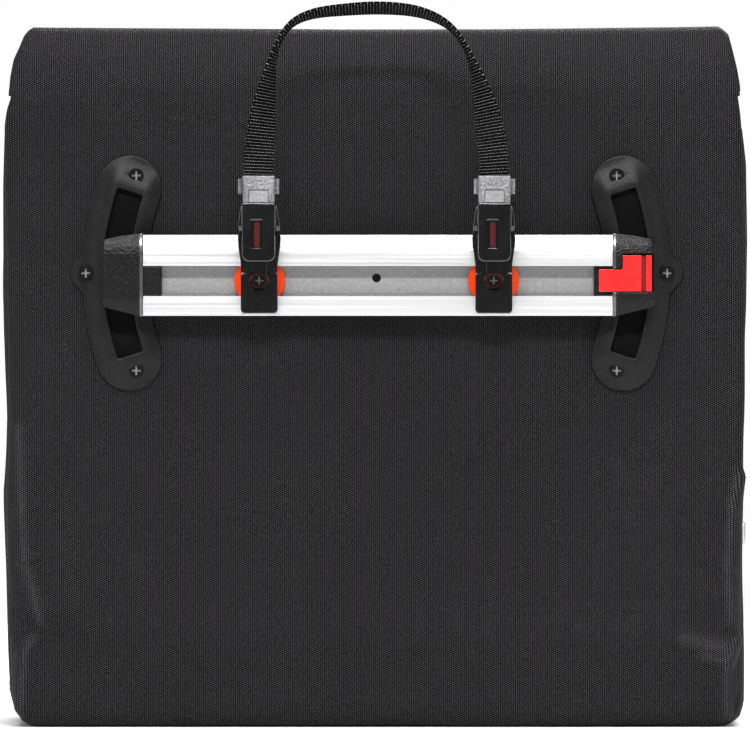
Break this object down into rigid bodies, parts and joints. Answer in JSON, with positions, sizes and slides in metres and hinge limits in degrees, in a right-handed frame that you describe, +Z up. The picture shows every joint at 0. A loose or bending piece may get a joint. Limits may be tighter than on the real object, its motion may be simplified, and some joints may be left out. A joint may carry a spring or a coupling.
{
  "type": "pannier bag",
  "caption": "Black canvas pannier bag with a fold-over flap, an aluminium rail, two latching hooks for a rack tube, arc-slotted end plates and a webbing carry handle.",
  "frame": {"origin": "middle of the bag's base, on the surface that it stands on", "axes": "+Z up, +X to the right when looking at the rail side, -Y out of the rail side, towards the rack"},
  "size_m": [0.371, 0.1868, 0.3605],
  "materials": {
    "canvas": "matt coated weave",
    "webbing": "woven",
    "reflector": "reflective tape",
    "hook_tape": "hook and loop",
    "board": "matt",
    "black_plastic": "coarse moulded grain",
    "gloss_black": "smooth moulded",
    "red_plastic": "smooth moulded",
    "orange_plastic": "moulded",
    "rail_metal": "anodised satin",
    "steel": "satin",
    "black_screw": "black"
  },
  "bodies": {
    "bag": {"back_panel": "canvas", "front_panel": "canvas", "gusset_left": "canvas", "gusset_right": "canvas", "bottom_panel": "canvas", "back_board": "board", "bottom_board": "board", "loop_patches": "hook_tape", "side_tab": "reflector", "corner_eyelet": "steel", "plate_left": "black_plastic", "plate_right": "black_plastic", "plate_screws": "black_screw", "plate_nuts": "steel", "pivot_stud": "black_screw"},
    "flap": {"flap": "canvas", "hook_patches": "hook_tape"},
    "rail": {"rail": "rail_metal", "cap_left": "black_plastic", "cap_right": "black_plastic", "shoe_left": "gloss_black", "shoe_right": "gloss_black", "lock_spring": "steel"},
    "lock": {"lock_slider": "red_plastic"},
    "hooks": {"hook_left": "gloss_black", "hook_right": "gloss_black", "latch_pin_left": "steel", "latch_pin_right": "steel", "latch_spring_left": "steel", "latch_spring_right": "steel"},
    "latch_left": {"latch_left": "gloss_black"},
    "latch_right": {"latch_right": "gloss_black"},
    "wheel_left": {"wheel_left": "orange_plastic", "wheel_screw_left": "black_screw"},
    "wheel_right": {"wheel_right": "orange_plastic", "wheel_screw_right": "black_screw"},
    "adjuster_left": {"adjuster_left": "red_plastic"},
    "adjuster_right": {"adjuster_right": "red_plastic"},
    "handle": {"carry_strap": "webbing", "strap_clip_left": "gloss_black", "strap_clip_right": "gloss_black", "pull_bar_left": "red_plastic", "pull_bar_right": "red_plastic"}
  },
  "joints": [
    {"name": "flap_hinge", "type": "hinge", "parent": "bag", "child": "flap", "pos_m": [0, -0.0638, 0.318], "axis": [1, 0, 0], "range_deg": [0, 90]},
    {"name": "rail_tilt", "type": "hinge", "parent": "bag", "child": "rail", "pos_m": [0, -0.0725, 0.2244], "axis": [0, 1, 0], "range_deg": [-15, 15]},
    {"name": "lock_slide", "type": "slide", "parent": "rail", "child": "lock", "axis": [-1, 0, 0], "range_m": [0, 0.005], "stiffness_N_per_m": 200, "springref_m": -0.002, "deforming": ["lock_spring"]},
    {"name": "hooks_shift", "type": "slide", "parent": "rail", "child": "hooks", "axis": [1, 0, 0], "range_m": [-0.035, 0.035]},
    {"name": "handle_lift", "type": "slide", "parent": "hooks", "child": "handle", "axis": [0, 0, 1], "range_m": [0, 0.00386], "stiffness_N_per_m": 1200, "springref_m": -0.002, "deforming": ["latch_spring_left", "latch_spring_right"]},
    {"name": "latch_left_swing", "type": "hinge", "parent": "hooks", "child": "latch_left", "pos_m": [-0.0583, -0.106, 0.2365], "axis": [-1, 0, 0], "range_deg": [0, 80]},
    {"name": "latch_right_swing", "type": "hinge", "parent": "hooks", "child": "latch_right", "pos_m": [0.0583, -0.106, 0.2365], "axis": [-1, 0, 0], "range_deg": [0, 80]},
    {"name": "wheel_left_turn", "type": "hinge", "parent": "hooks", "child": "wheel_left", "pos_m": [-0.0583, -0.083, 0.2228], "axis": [0, -1, 0], "range_deg": [0, 360]},
    {"name": "wheel_right_turn", "type": "hinge", "parent": "hooks", "child": "wheel_right", "pos_m": [0.0583, -0.083, 0.2228], "axis": [0, -1, 0], "range_deg": [0, 360]},
    {"name": "adjuster_left_slide", "type": "slide", "parent": "hooks", "child": "adjuster_left", "axis": [0, -1, 0], "range_m": [0, 0.0061]},
    {"name": "adjuster_right_slide", "type": "slide", "parent": "hooks", "child": "adjuster_right", "axis": [0, -1, 0], "range_m": [0, 0.0061]}
  ],
  "couplings": [
    {"joint": "latch_left_swing", "follows": "handle_lift", "rad_per_m": 361.7},
    {"joint": "latch_right_swing", "follows": "handle_lift", "rad_per_m": 361.7},
    {"joint": "adjuster_left_slide", "follows": "wheel_left_turn", "m_per_rad": 0.00095493},
    {"joint": "adjuster_right_slide", "follows": "wheel_right_turn", "m_per_rad": 0.00095493}
  ]
}
